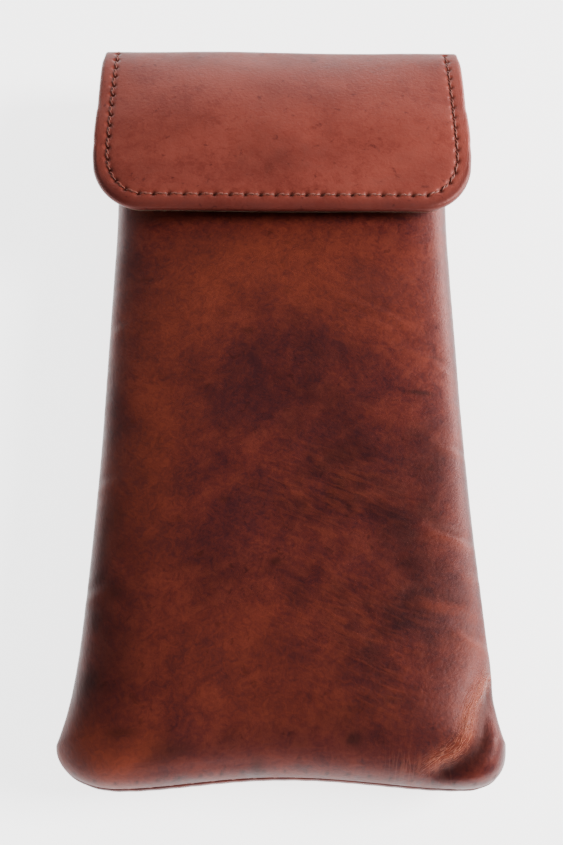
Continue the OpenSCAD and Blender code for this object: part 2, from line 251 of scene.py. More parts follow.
def make_object(name, points, faces, uv=None, values=None, sharp=None):
    """A smooth mesh object from points in millimetres. values maps an attribute's name to a number a point,
    and the edges between the points in sharp stay sharp."""
    mesh = bpy.data.meshes.new(name)
    mesh.from_pydata((np.asarray(points) * MM).tolist(), [], faces)
    mesh.validate()
    mesh.shade_smooth()
    if uv is not None:
        corner = np.zeros(len(mesh.loops), np.int32)
        mesh.loops.foreach_get("vertex_index", corner)
        mesh.uv_layers.new(name="flat").data.foreach_set("uv", np.asarray(uv, np.float32)[corner].ravel())
    for key, value in (values or {}).items():
        mesh.attributes.new(key, "FLOAT", "POINT").data.foreach_set("value", np.asarray(value, np.float32))
    if sharp is not None:
        ends = np.zeros(len(mesh.edges) * 2, np.int32)
        mesh.edges.foreach_get("vertices", ends)
        marked = np.asarray(sharp, bool)[ends.reshape(-1, 2)].all(axis=1)
        mesh.edges.foreach_set("use_edge_sharp", marked)
    made = bpy.data.objects.new(name, mesh)
    bpy.context.scene.collection.objects.link(made)
    return made


def meeting(a, b):
    """The direction out of a sheet's corner, from those of the two sides that meet there."""
    both = np.linalg.norm(a) > 0.5 and np.linalg.norm(b) > 0.5
    return (a + b) / np.linalg.norm(a + b) if both else a + b


def rim_of(outer, normals, cut, flip):
    """The cells round a grid, which of them are its corners, and the direction out of the sheet at each cell.
    The direction is 0 along a side that is cut."""
    m, n = outer.shape[:2]
    sides = {
        "near": [(0, i) for i in range(n)],
        "right": [(j, n - 1) for j in range(m)],
        "far": [(m - 1, i) for i in range(n - 1, -1, -1)],
        "left": [(j, 0) for j in range(m - 1, -1, -1)],
    }
    outward = []
    for side, cells in sides.items():
        jj, ii = np.array(cells).T
        out = unit(np.cross(np.gradient(outer[jj, ii], axis=0), normals[jj, ii]) * (-1 if flip else 1))
        outward.append(0 * out if side in cut else out)
    for before, after in zip(outward[-1:] + outward[:-1], outward):
        after[0] = meeting(before[-1], after[0])
    loop = [cell for cells in sides.values() for cell in cells[:-1]]
    corners = np.cumsum([0] + [len(cells) - 1 for cells in sides.values()])[:-1]
    return loop, corners, np.concatenate([out[:-1] for out in outward])


def hidden_faces(ids):
    """The large faces of a sheet's hidden side. Those beside the rim take in all of its points."""
    m, n = ids.shape
    faces = []
    for j in range(0, m - 1, INNER_STEP):
        for i in range(0, n - 1, INNER_STEP):
            j1, i1 = j + INNER_STEP, i + INNER_STEP
            near = [(j, k) for k in range(i, i1)] if j == 0 else [(j, i)]
            right = [(k, i1) for k in range(j, j1)] if i1 == n - 1 else [(j, i1)]
            far = [(j1, k) for k in range(i1, i, -1)] if j1 == m - 1 else [(j1, i1)]
            left = [(k, i) for k in range(j1, j, -1)] if i == 0 else [(j1, i)]
            faces.append([int(ids[cell]) for cell in near + right + far + left][::-1])
    return faces


def make_sheet(name, outer, thickness, cut=(), values=None, far_run=None, sense=1, flip=False):
    """A closed sheet whose outer side is a grid. Its edges are round, apart from those named in cut.
    far_run is the flat length at the grid's last row, and sense is -1 if it falls towards that row.
    flip is for a grid whose outer side is the one that its normals point away from."""
    m, n = outer.shape[:2]
    normals = grid_normals(outer) * (-1 if flip else 1)
    across, along = flat_lengths(outer)
    if far_run is not None:
        along = far_run + sense * (along - along[-1])
    uv = np.dstack([across, along]) / UV_LENGTH
    loop, corners, outward = rim_of(outer, normals, cut, flip)
    jj, ii = np.array(loop).T
    thickness = np.broadcast_to(thickness, (m, n))[..., None]
    edge, edge_n, radius = outer[jj, ii], normals[jj, ii], thickness[jj, ii] / 2
    is_cut = np.linalg.norm(outward, axis=1) < 0.5
    for corner in corners:
        before, after = (corner - CORNER_REACH) % len(loop), (corner + CORNER_REACH) % len(loop)
        if is_cut[before] or is_cut[after]:
            continue
        for k in range(1 - CORNER_REACH, CORNER_REACH):
            for field in (outward, edge_n):
                turned = mix(field[before], field[after], (k + CORNER_REACH) / (2 * CORNER_REACH))
                field[(corner + k) % len(loop)] = unit(turned)

    uv_out = np.zeros((len(loop), 2))
    uv_out[ii == n - 1, 0] = 1
    uv_out[ii == 0, 0] = -1
    uv_out[jj == 0, 1] = -sense
    uv_out[jj == m - 1, 1] = sense
    points, uvs, rings = [outer.reshape(-1, 3)], [uv.reshape(-1, 2)], [jj * n + ii]
    for k in range(1, ROUND_STEPS + 1):
        a = math.pi * k / ROUND_STEPS
        points.append(edge + outward * radius * math.sin(a) - edge_n * radius * (1 - math.cos(a)))
        uvs.append(uv[jj, ii] + uv_out * radius * a / UV_LENGTH)
        rings.append(m * n + (k - 1) * len(loop) + np.arange(len(loop)))
    inner = np.s_[INNER_STEP:m - 1:INNER_STEP, INNER_STEP:n - 1:INNER_STEP]
    points.append((outer - normals * thickness)[inner].reshape(-1, 3))
    uvs.append(uv[inner].reshape(-1, 2))

    at = np.arange(m * n).reshape(m, n)
    faces = np.stack([at[:-1, :-1], at[:-1, 1:], at[1:, 1:], at[1:, :-1]], axis=2).reshape(-1, 4).tolist()
    for upper, lower in zip(rings, rings[1:]):
        faces += np.stack([upper, lower, np.roll(lower, -1), np.roll(upper, -1)], axis=1).tolist()
    ids = np.zeros((m, n), int)
    ids[jj, ii] = rings[-1]
    ids[inner] = m * n + ROUND_STEPS * len(loop) + np.arange(ids[inner].size).reshape(ids[inner].shape)
    faces += hidden_faces(ids)
    if flip:
        faces = [face[::-1] for face in faces]

    spread = {key: np.concatenate([value.ravel(), np.tile(value[jj, ii], ROUND_STEPS), value[inner].ravel()])
              for key, value in (values or {}).items()}
    points = np.concatenate(points)
    sharp = np.zeros(len(points), bool)
    sharp[rings[0][is_cut]] = True
    return make_object(name, points, faces, np.concatenate(uvs), spread, sharp)


# ---------------------------------------------------------------- the front of the pouch

def front_point(u, e, depth=0.0):
    """The front's face, or a layer below it, at column u and e from the bottom edge."""
    y = bottom_edge(u) + e * (MOUTH_Y - bottom_edge(u)) / POUCH_L
    y = y + depth * (1 - ease(e / END_L))
    width, zb = half_width(y) - tuck(u, y), seam_height(y) + SEAM_LIFT
    high = pillow(1 - np.abs(u), FRONT_POWER) * pillow(e / END_L, END_POWER)
    return np.stack([u * (width - depth), y, mix(zb, front_height(y) - depth, high)], axis=-1)


# The ridge of the crease across the right-hand bottom corner
RIDGE = [
    (41.5, -68.5, 11.0), (40.4, -70.8, 14.8), (38.6, -73.8, 17.0), (36.9, -76.7, 17.9), (35.7, -79.3, 18.2),
    (35.1, -81.5, 18.0), (34.5, -83.6, 17.6), (33.0, -85.4, 17.2), (31.2, -86.7, 16.8), (29.4, -87.5, 16.4),
    (28.0, -88.2, 15.9), (26.3, -89.0, 15.0), (25.0, -90.0, 13.0),
]


def along_ridge(points):
    """Distance along the ridge of the corner's crease, and away from it: above 0 on the corner's side.
    The ridge's length comes last."""
    ridge = np.array(RIDGE)
    best, s, d = (np.full(points.shape[:2], value) for value in (1e9, 0.0, 0.0))
    start = 0.0
    for a, b in zip(ridge, ridge[1:]):
        length = np.linalg.norm(b - a)
        run = (b - a) / length
        t = np.clip((points - a) @ run, 0, length)
        away = points - a - t[..., None] * run
        off = np.linalg.norm(away, axis=-1)
        side = np.where(away @ np.array([-run[1], run[0], 0.35]) > 0, 1, -1)
        closer = off < best
        s, d = np.where(closer, start + t, s), np.where(closer, off * side, d)
        best = np.minimum(off, best)
        start += length
    return s, d, start


def corner_crease(points):
    """The crease across the right-hand corner: a wrinkled step down to a valley, and the corner beyond."""
    s, d, length = along_ridge(points)
    window = ease((s - 1) / 6) * ease((length - s) / 6)
    valley = np.where(d < 3.0, bell(d - 3.0, 4.2), bell(d - 3.0, 2.2)) * window
    lines = np.sin(2 * math.pi * (d + 0.45 * noise(s, d, 5, 15)) / 1.15)
    wrinkles = (0.24 * bell(d + 0.2, 1.2) + 0.04 * lines * bell(d + 0.4, 1.8)) * window
    return s, d, window, wrinkles - 1.15 * valley + 0.30 * bell(d - 8, 3.0) * window


def short_crease(x, y, start, end, width):
    """A soft crease between two points: 1 in its middle, falling off to both ends and sides."""
    start, end = np.array(start), np.array(end)
    length = np.linalg.norm(end - start)
    run = (end - start) / length
    s = ((x - start[0]) * run[0] + (y - start[1]) * run[1]) / length
    d = -(x - start[0]) * run[1] + (y - start[1]) * run[0] + 0.5 * noise(x, y, 5, 31)
    return bell(d, width) * np.sin(np.clip(s, 0, 1) * math.pi) ** 0.7, d


# Soft creases from the right-hand and left-hand walls, as start, end, width and depth
SIDE_CREASES = [
    ((31, -20.0), (41.5, -23.5), 1.1, 0.12),
    ((23, -55.2), (38, -57.0), 1.3, 0.20),
    ((28, -40.5), (40, -43.0), 1.2, 0.24),
    ((32, -61.5), (41.5, -65.0), 1.2, 0.20),
    ((34, -49.5), (42, -50.5), 1.1, 0.12),
    ((26, 3.0), (39, -3.5), 1.2, 0.08),
    ((10, 16.0), (30, 7.0), 1.0, 0.07),
    ((12, 12.0), (28, 4.0), 0.9, 0.05),
    ((-43, -30.0), (-33, -29.0), 1.5, 0.10),
    ((-43, -55.0), (-34, -52.0), 1.5, 0.12),
    ((-41, 8.0), (-33, 9.5), 1.4, 0.10),
]


def from_side(u):
    """Rough length along the leather from the nearer side edge to column u."""
    return (1 - np.abs(u)) * 60


def seam_pucker(run, edge_distance, seed):
    """Small gathers where the stitches pull the seam in."""
    wave = np.cos(2 * math.pi * run / SEAM_PITCH) * (1 + 0.5 * noise(run, run * 0, 7, seed))
    return 0.03 * wave * np.exp(-np.maximum(edge_distance, 0) / 1.8)


def front_relief(points, u, e):
    """Height of the front's creases and wrinkles, and the masks and lengths that its material goes by."""
    x, y = points[..., 0], points[..., 1]
    height = 0.30 * noise(x, y, 34, 3) + 0.14 * noise(x, y, 15, 5) + 0.04 * noise(x, y, 6, 7)
    s, d, window, crease = corner_crease(points)
    height = height + crease
    # Lighter pull-up colour on the corner crease's ridge, and painted shade in its valley; the side creases
    # and the seam's needle holes below get painted shade too.
    worn, painted_shade = 0.55 * bell(d + 0.2, 1.9) * window, 0.8 * bell(d - 3.2, 1.9) * window
    for start, end, width, depth in SIDE_CREASES:
        fold, off = short_crease(x, y, start, end, width)
        lip, _ = short_crease(x, y + 1.6 * width, start, end, 1.2 * width)
        height = height - depth * fold + 0.6 * depth * lip
        painted_shade, worn = painted_shade + 0.5 * fold * depth / 0.3, worn + 0.35 * lip * depth / 0.3
    hem = bell(e - 2.2, 2.0) * (0.06 + 0.94 * ease((x - 16) / 7)) * ease((35 - x) / 5)
    upright = np.sin(2 * math.pi * (x / 1.9 + 0.8 * noise(x, y, 6, 17) + 0.03 * e * np.sign(x)))
    height = height + 0.03 * upright * hem * (0.6 + 0.7 * noise(x, y, 4.5, 18))
    at_side = from_side(u)
    run = np.where(e < at_side, x, y)
    height = height + seam_pucker(run, np.minimum(e, at_side), 21)
    holes = np.cos(math.pi * run / SEAM_PITCH) ** 16 * bell(np.minimum(e, 9) - 0.35, 0.22) * (e < at_side)
    settle = ease(e / 1.6) * ease((1 - np.abs(u)) * 40) * ease((MOUTH_Y - y) / 2)
    values = {
        "worn": np.clip(worn, 0, 1), "painted_shade": np.clip(painted_shade + holes, 0, 1), "hem": hem,
        "crease": bell(d + 0.2, 1.9) * window, "fold_s": s, "fold_d": d,
    }
    return height * mix(0.25, 1, settle), values


def blob(x, y, cx, cy, wx, wy):
    return np.exp(-((x - cx) / wx) ** 2 - ((y - cy) / wy) ** 2)


# Where the front is darker, as centre, half-sizes and strength: mostly stains from the dye and the handling.
# The patch at (-40, -5) is painted shade, the left wall darker as it faces away from the lamps; (-38, -60) is
# partly a stain and partly that painted shade, and (24, -64) partly a stain, deepened as painted shade to dim
# a sheen.
FRONT_STAINS_AND_SHADE = [
    (8, -18, 24, 8, 0.50), (20, -34, 15, 12, 0.75), (4, -33, 12, 7, 0.45), (24, -64, 14, 9, 0.95),
    (29, -48, 8, 9, 0.50), (-38, -60, 8, 24, 1.0), (-40, -5, 4, 44, 0.6), (-22, -84, 9, 2.6, 0.75),
    (-6, -84.5, 10, 2.6, 0.65), (-10, -52, 12, 9, 0.35), (10, -56, 12, 6, 0.35), (4, 2, 14, 8, 0.35),
    (-30, 14, 5, 9, 0.35), (-2, -8, 11, 7, 0.40), (33, -28, 6, 12, 0.3), (16, -78, 14, 5, 0.5),
]
# Small dark scuffs, told the same way
FRONT_SCUFFS = [
    (-30.6, -82.8, 2.6, 0.9, 0.9), (12.6, -83.9, 1.3, 0.9, 0.9), (-5.3, -88.5, 1.0, 1.3, 0.9),
    (6.2, -90.0, 1.0, 0.8, 0.7), (-1.8, -49.5, 1.2, 0.8, 0.9), (29.1, -9.9, 3.2, 0.55, 0.9),
    (33.5, -0.6, 3.0, 0.5, 0.8), (-12, -36, 1.1, 0.7, 0.6), (-7.4, 4.7, 1.4, 0.8, 0.7),
    (-13, 9, 1.2, 0.8, 0.6), (1, 15, 1.1, 1.1, 0.5), (-6, 33, 1.0, 0.7, 0.5), (20, -77, 1.4, 0.8, 0.6),
    (-26, -22, 0.9, 0.7, 0.5), (-21, -40, 1.0, 1.2, 0.5), (-31, 19, 2.4, 0.6, 0.6),
]
# Where it is worn lighter and redder, and where fine wavy wrinkles cross it
FRONT_WORN = [
    (-4, 22, 26, 12, 0.40), (-27, -25, 8, 26, 0.34), (-12, -68, 16, 10, 0.20), (-32, -86, 8, 5, 0.55),
    (26, 8, 14, 10, 0.12), (2, -78, 20, 4, 0.16), (-20, 8, 10, 14, 0.22),
]
FRONT_WAVES = [(8, -33, 18, 11, 0.9), (12, -60, 19, 11, 0.9), (18, -76, 12, 7, 0.7), (16, 9, 11, 5, 0.5)]


def stain_and_shade_mask(x, y, stains, scuffs, seed):
    """Darkness from 0 to 1: broad patches with ragged edges, which are stains and, where their table says so,
    painted shade, and small scuffs.
    """
    dark = 0 * x
    warp_x, warp_y = 4 * noise(x, y, 13, seed), 4 * noise(x, y, 11, seed + 1)
    for cx, cy, wx, wy, strength in stains:
        dark = dark + strength * blob(x + warp_x, y + warp_y, cx, cy, wx, wy)
    ragged = 0.8 * noise(x, y, 9, seed + 2) + 0.7 * noise(x, y, 4.4, seed + 3)
    ragged = ragged + 0.5 * noise(x, y, 2.1, seed + 4)
    dark = dark * (0.8 + 0.32 * ragged) + 0.09 * ragged
    for cx, cy, wx, wy, strength in scuffs:
        dark = dark + strength * blob(x + 0.4 * noise(x, y, 1.5, seed + 5), y, cx, cy, wx, wy)
    return np.clip(dark, 0, 1)


def patches(x, y, places, seed):
    """Strength of a few broad patches with wandering edges."""
    x, y = x + 3 * noise(x, y, 11, seed), y + 3 * noise(x, y, 9, seed + 1)
    return sum(strength * blob(x, y, cx, cy, wx, wy) for cx, cy, wx, wy, strength in places)


def make_front_leather():
    u = across_steps(BODY_T / 2, FRONT_POWER, FINE)
    uu, ee = np.meshgrid(u, along_steps(BODY_T / 2, POUCH_L, FINE))
    base = front_point(uu, ee)
    x, y = base[..., 0], base[..., 1]
    height, values = front_relief(base, uu, ee)
    outer = base + grid_normals(base) * height[..., None]
    values["dark"] = stain_and_shade_mask(x, y, FRONT_STAINS_AND_SHADE, FRONT_SCUFFS, 41)
    values["worn"] = np.clip(values["worn"] + patches(x, y, FRONT_WORN, 51), 0, 1)
    values["waves"] = patches(x, y, FRONT_WAVES, 55)
    values["dry"] = np.clip(bell(ee, 9) * ease((36 - x) / 8) + 0.8 * blob(x, y, 35, -60, 9, 15), 0, 1)
    return make_sheet("front_leather", outer, LEATHER_T, values=values)


# ---------------------------------------------------------------- the back, the fold and the flap

def back_point(u, e, depth=0.0):
    """The back's face, or a layer inside it, up to where the strip starts to bend."""
    y = bottom_edge(u) + e * (MOUTH_Y - bottom_edge(u)) / POUCH_L
    y = np.where(e > POUCH_L, e + bottom_edge(0), y)
    y = y + depth * (1 - ease(e / END_L))
    in_y = np.minimum(y, MOUTH_Y)
    s = ease((y - MOUTH_Y + 2) / (BEND_Y - MOUTH_Y + 1))
    high = pillow(1 - np.abs(u), BACK_POWER) * pillow(e / END_L, END_POWER)
    z = np.maximum(mix(seam_height(in_y) - SEAM_LIFT, back_height(in_y) + depth, high), depth)
    strip_end = LOW_BEND_Z + FOLD_R * math.sin(LOW_BEND_FROM)
    strip = strip_end - math.tan(math.pi / 2 + LOW_BEND_FROM) * (BEND_FROM_Y - y)
    width = mix(half_width(in_y) - tuck(u, y) - depth, STRIP_HALF, s)
    return np.stack([u * width, y, mix(z, strip + depth, s)], axis=-1)


def bend_point(u, z, angle, depth):
    """A point at an angle round a bend whose axis is at height z."""
    r, flat = FOLD_R - depth, 0 * u
    y, height = BEND_Y + r * np.cos(angle) + flat, z + r * np.sin(angle) + flat
    return np.stack([u * STRIP_HALF, y, height], axis=-1)


def low_bend_rows(u, depth, step):
    """Rows round the lower bend and up the spine, to where the leather's two halves meet."""
    count = max(3, round(FOLD_R * -LOW_BEND_FROM / step))
    rows = [bend_point(u, LOW_BEND_Z, a, depth) for a in np.linspace(LOW_BEND_FROM, 0, count + 1)[1:]]
    spine = max(2, round((SPLIT_Z - LOW_BEND_Z) / step))
    rows += [bend_point(u, z, 0, depth) for z in np.linspace(LOW_BEND_Z, SPLIT_Z, spine + 1)[1:]]
    return np.stack(rows)


def even_rows(grid):
    """Drops rows near the middle so that the grid has a multiple of INNER_STEP rows of faces."""
    extra = (len(grid) - 1) % INNER_STEP
    keep = np.ones(len(grid), bool)
    keep[[len(grid) // 2 + 2 * k for k in range(extra)]] = False
    return grid[keep]


def make_back_leather():
    u = across_steps(BODY_T / 2, BACK_POWER, PLAIN)
    uu, ee = np.meshgrid(u, along_steps(BODY_T / 2, BEND_FROM_Y - bottom_edge(0), PLAIN))
    base = back_point(uu, ee)
    x, y, z = np.moveaxis(base, -1, 0)
    inside = ease((MOUTH_Y - y) / 6)
    lift = 0.12 * noise(x, y, 30, 61) * ease(z / 4)
    at_side = from_side(uu)
    run = np.where(ee < at_side, x, y)
    lift = (lift + seam_pucker(run, np.minimum(ee, at_side), 62)) * inside
    body = base - grid_normals(base) * lift[..., None]
    body[..., 2] = np.maximum(body[..., 2], 0)
    outer = even_rows(np.concatenate([body, low_bend_rows(u, 0, PLAIN * 0.6)]))
    x, y = outer[..., 0], outer[..., 1]
    # Towards the fold the back takes the flap's tones, which are partly painted light.
    flap_tone_and_light = ease((y - MOUTH_Y + 4) / 14)
    dark = stain_and_shade_mask(x, y, BACK_STAINS, [], 71)
    return make_sheet("back_leather", outer, LEATHER_T, cut=("far",),
                      values={"dark": dark * (1 - flap_tone_and_light), "flap_tone_and_light": flap_tone_and_light}, far_run=SPLIT_RUN, flip=True)


def flap_edge_y(x, inset=0.0):
    """The flap's front edge at x, drawn in by inset."""
    x = np.abs(x)
    x0, w, l = HALF - CORNER_W, CORNER_W - inset, CORNER_L - BOW - inset
    corner = FLAP_FRONT_Y + CORNER_L - l * np.sqrt(np.clip(1 - ((x - x0) / w) ** 2, 0, 1))
    return np.where(x < x0, FLAP_FRONT_Y + BOW * (x / x0) ** 2 + inset, corner)


def flap_top(x, y):
    """Height of the flap's face: it falls to the fold, at its front edge, and to its sides."""
    return (FLAP_PEAK_Z - RISE * (np.maximum(0, y - PEAK_Y) / RISE_L) ** 2
            - FRONT_DROP * (np.maximum(0, FLAP_FRONT_Y + FRONT_DROP_L - y) / FRONT_DROP_L) ** 2
            - DROOP * (np.abs(x) / HALF) ** 3 * ease((FLAP_START_Y - y) / DROOP_L))


def on_board(y):
    """0 at the fold, and 1 from where the stiffening board lies under the flap's leather."""
    return ease((FLAP_START_Y - y) / BOARD_RAMP)


def flap_grid(inset, step, depth=0.0, board=0.0):
    """Rows from the flap's front edge back to the fold, round it and down the spine.
    A layer below the top face is depth further in, and board more where the stiffening board lies over it."""
    across = INNER_STEP * round(2 * HALF / step / INNER_STEP)
    x = np.linspace(-1, 1, across + 1) * (HALF - inset)
    rows = max(6, round((FLAP_START_Y - FLAP_FRONT_Y) / step))
    t = np.linspace(0, 1, rows + 1)[:, None]
    edge = flap_edge_y(x, inset)[None]
    y = mix(edge, FLAP_START_Y, t)
    xx = np.broadcast_to(x, y.shape)
    slope = 2 * RISE * np.maximum(0, y - PEAK_Y) / RISE_L ** 2
    inward = (depth + board * on_board(y)) / np.sqrt(1 + slope ** 2)
    flat = np.stack([xx, y - inward * slope, flap_top(xx, y) - inward], axis=-1)
    u = x / STRIP_HALF
    count = max(3, round(FOLD_R * HIGH_BEND_TO / step))
    bend = [bend_point(u, HIGH_BEND_Z, a, depth) for a in np.linspace(HIGH_BEND_TO, 0, count + 1)[1:]]
    spine = max(2, round((HIGH_BEND_Z - SPLIT_Z) / step))
    down = [bend_point(u, z, 0, depth) for z in np.linspace(HIGH_BEND_Z, SPLIT_Z, spine + 1)[1:]]
    return even_rows(np.concatenate([flat, np.stack(bend + down)]))


def flap_stitch_line():
    """Needle holes along the flap's edges, seen from above, from the left of the fold round to its right."""
    x0, y0 = HALF - CORNER_W, FLAP_FRONT_Y + CORNER_L
    side_x = HALF - INSET
    side = [(side_x, y) for y in np.linspace(FLAP_START_Y, y0, 200)]
    a = np.linspace(0, math.pi / 2, 100)[1:]
    corner = [(x0 + (CORNER_W - INSET) * math.cos(t), y0 - (CORNER_L - BOW - INSET) * math.sin(t)) for t in a]
    front = [(x, float(flap_edge_y(x)) + INSET) for x in np.linspace(x0, 0, 200)[1:]]
    right = np.array(side + corner + front)
    line = np.concatenate([right * [-1, 1], right[-2::-1]])
    t, run = np.linspace(0, 1, len(line)), path_lengths(line)
    even = np.interp(np.linspace(0, run[-1], round(run[-1] / PITCH) + 1), run, t)
    return np.stack([np.interp(even, t, line[:, 0]), np.interp(even, t, line[:, 1])], axis=1)


FLAP_HOLES = flap_stitch_line()


def flap_relief(x, y, flat):
    """Height of the flap's relief, and masks of its sunken stitch line and of the needle holes in it.
    The stitch line fades with flat, which is 1 on the flap and 0 round the fold."""
    height = 0.16 * noise(x, y, 26, 81) + 0.05 * noise(x, y, 9, 82)
    height = height + 0.34 * bell(np.hypot(x, y - SNAP_Y), 8.5)
    line, holes = 0 * x, 0 * x
    for a, b in zip(FLAP_HOLES, FLAP_HOLES[1:]):
        ab = b - a
        t = np.clip(((x - a[0]) * ab[0] + (y - a[1]) * ab[1]) / (ab @ ab), 0, 1)
        line = np.maximum(line, bell(np.hypot(x - a[0] - t * ab[0], y - a[1] - t * ab[1]), 0.75))
    for a in FLAP_HOLES:
        holes = np.maximum(holes, bell(np.hypot(x - a[0], y - a[1]), 0.55))
    return height - flat * (0.12 * line + 0.60 * holes), line * flat, holes * flat


# Where the back and the flap are darker, told as the front's stains are. The flap's first patch, over the
# snap, is painted shade round the bump that the snap makes.
BACK_STAINS = [(0, -20, 30, 30, 0.35), (10, 40, 20, 20, 0.3), (-20, -70, 18, 12, 0.4)]
FLAP_STAINS_AND_SHADE = [
    (-2, 49, 9, 6, 0.75), (30, 44, 12, 8, 0.25), (-34, 47, 8, 8, 0.15), (6, 66, 10, 8, 0.2),
    (0, 84, 44, 5, 0.2), (-30, 70, 10, 9, 0.1),
]


def make_flap_leather():
    inset = LEATHER_T / 2
    outer = flap_grid(inset, FINE)
    x, y, z = np.moveaxis(outer, -1, 0)
    flat = ease((FLAP_START_Y + 2 - y) / 3)
    height, line, holes = flap_relief(x, y, flat)
    height = height * ease((z - SPLIT_Z) / 4)
    outer = outer + grid_normals(outer) * height[..., None]
    dark = stain_and_shade_mask(x, y, FLAP_STAINS_AND_SHADE, [], 91) * 0.8
    rim = np.clip(1 - (y - flap_edge_y(x, inset)) / 2.6, 0, 1) * flat
    dark = np.clip(dark * ease((z - SPLIT_Z - 1) / 6) + 0.65 * rim, 0, 1)
    # The needle holes get painted shade; the whole flap takes the flap's tones, which are partly painted
    # light.
    values = {"dark": dark, "worn": 0.15 * line, "painted_shade": holes, "flap_tone_and_light": np.ones_like(x)}
    thickness = mix(LEATHER_T, LEATHER_T + BOARD_T, on_board(y) * ease((z - FLAP_PEAK_Z + 9) / 4))
    return make_sheet("flap_leather", outer, thickness, cut=("far",), values=values, far_run=SPLIT_RUN,
                      sense=-1)


# ---------------------------------------------------------------- linings and foam

def lining_depth(y, thin):
    """Depth of a lining's open side: over the foam in the pouch, over the leather alone at the mouth."""
    return mix(LEATHER_T + PAD_T + SUEDE_T, thin, ease((y - MOUTH_Y + 12) / 8))


def make_front_lining():
    u, e = np.meshgrid(across_steps(BODY_T / 2, FRONT_POWER, PLAIN),
                       along_steps(BODY_T / 2, POUCH_L - 0.9, PLAIN))
    depth = lining_depth(front_point(u, e)[..., 1], LEATHER_T + SUEDE_T)
    return make_sheet("front_lining_suede", front_point(u, e, depth), SUEDE_T, flip=True)


def make_back_lining():
    u = across_steps(BODY_T / 2, BACK_POWER, PLAIN)
    uu, ee = np.meshgrid(u, along_steps(BODY_T / 2, BEND_FROM_Y - bottom_edge(0), PLAIN))
    thin = LEATHER_T + LINING_T
    grid = back_point(uu, ee, lining_depth(back_point(uu, ee)[..., 1], thin))
    grid = even_rows(np.concatenate([grid, low_bend_rows(u, thin, PLAIN * 0.6)]))
    grid[..., 0] *= 1 - 0.4 / HALF
    return make_sheet("back_lining_suede", grid, SUEDE_T, cut=("far",))


def make_foam(name, surface, power, flip):
    """One of the pouch's two sheets of foam, between the leather and the lining."""
    u, e = np.meshgrid(across_steps(BODY_T / 2, power, 2 * PLAIN) * 0.97,
                       along_steps(BODY_T / 2, POUCH_L - 13, 2 * PLAIN) + 2)
    grid = surface(u, e, LEATHER_T + 0.08)
    if not flip:
        height = front_relief(grid, u, e)[0]
        grid = grid + grid_normals(grid) * np.minimum(height, 0)[..., None]
    return make_sheet(name, grid, PAD_T - 0.16, flip=flip)


def make_flap_lining():
    grid = flap_grid(0.9, PLAIN, LEATHER_T + LINING_T, BOARD_T)
    x, y = grid[..., 0], grid[..., 1]
    edge = np.minimum(y - flap_edge_y(x, 0.9), HALF - 0.9 - np.abs(x))
    # The lining is darker within about a millimetre of its edge.
    values = {"dark_edge": bell(edge, 1.2)}
    return make_sheet("flap_lining_suede", grid, LINING_T, cut=("far",), values=values, flip=True)


# ---------------------------------------------------------------- stitching

STITCH_STEPS, STITCH_SIDES = 7, 5
TWIST_L = 3.1   # length over which the thread's two plies make one turn


def stitch_tube(a, b, normal, sink, arch, radius):
    """One stitch of two-ply thread: it comes up out of the hole at a, lies on the leather and ends in b."""
    t = np.linspace(0, 1, STITCH_STEPS + 1)
    lift = -sink + (sink + arch) * np.sin(math.pi * t) ** 0.5
    middle = mix(a, b, t[:, None]) + normal * lift[:, None]
    along = unit(np.gradient(middle, axis=0))
    side = unit(np.cross(along, normal))
    up = np.cross(side, along)
    points, faces = [], []
    turn = 2 * math.pi * t * np.linalg.norm(b - a) / TWIST_L
    ring = 2 * math.pi * np.arange(STITCH_SIDES) / STITCH_SIDES
    for ply in (0, math.pi):
        off = side * np.cos(turn + ply)[:, None] + up * np.sin(turn + ply)[:, None]
        centre = middle + 0.5 * radius * off
        start = sum(len(p) for p in points)
        round_it = side[:, None] * np.cos(ring)[None, :, None] + up[:, None] * np.sin(ring)[None, :, None]
        tube = centre[:, None] + 0.62 * radius * round_it
        points.append(tube.reshape(-1, 3))
        at = start + np.arange(tube.shape[0] * STITCH_SIDES).reshape(-1, STITCH_SIDES)
        after = np.roll(at, -1, axis=1)
        faces += np.stack([at[:-1], at[1:], after[1:], after[:-1]], axis=2).reshape(-1, 4).tolist()
        faces += [at[0].tolist(), at[-1][::-1].tolist()]
    return np.concatenate(points), faces


def make_stitches(name, rows, sink=0.55, arch=0.02, radius=THREAD_R):
    """Rows of stitches as one piece. A row is its needle holes and the way out of the leather at each."""
    points, faces, flat, total = [], [], [], 0
    draw = np.random.default_rng(5)
    for holes, normals in rows:
        for a, b, n, m in zip(holes, holes[1:], normals, normals[1:]):
            gap = 0.07 * (b - a) * draw.uniform(0.7, 1.3)
            out = unit(n + m)
            p, f = stitch_tube(a + gap, b - gap, out, sink, arch * draw.uniform(0.8, 1.2), radius)
            faces += [[i + total for i in face] for face in f]
            points.append(p)
            flat.append(np.c_[(p - a) @ unit(b - a) + total, (p - a) @ out] / UV_LENGTH)
            total += len(p)
    return make_object(name, np.concatenate(points), faces, np.concatenate(flat))


def flap_top_normal(x, y):
    step = 0.05
    dx = (flap_top(x + step, y) - flap_top(x - step, y)) / (2 * step)
    dy = (flap_top(x, y + step) - flap_top(x, y - step)) / (2 * step)
    return unit(np.stack([-dx, -dy, np.ones_like(dx)], axis=-1))


STITCH_U = (HALF - INSET) / STRIP_HALF


def fold_holes(side, z, angles):
    """Needle holes round a bend of the fold on one side, with the directions out of the leather."""
    holes = np.array([bend_point(side * STITCH_U, z, a, 0) for a in angles])
    return holes, np.array([[0, math.cos(a), math.sin(a)] for a in angles])


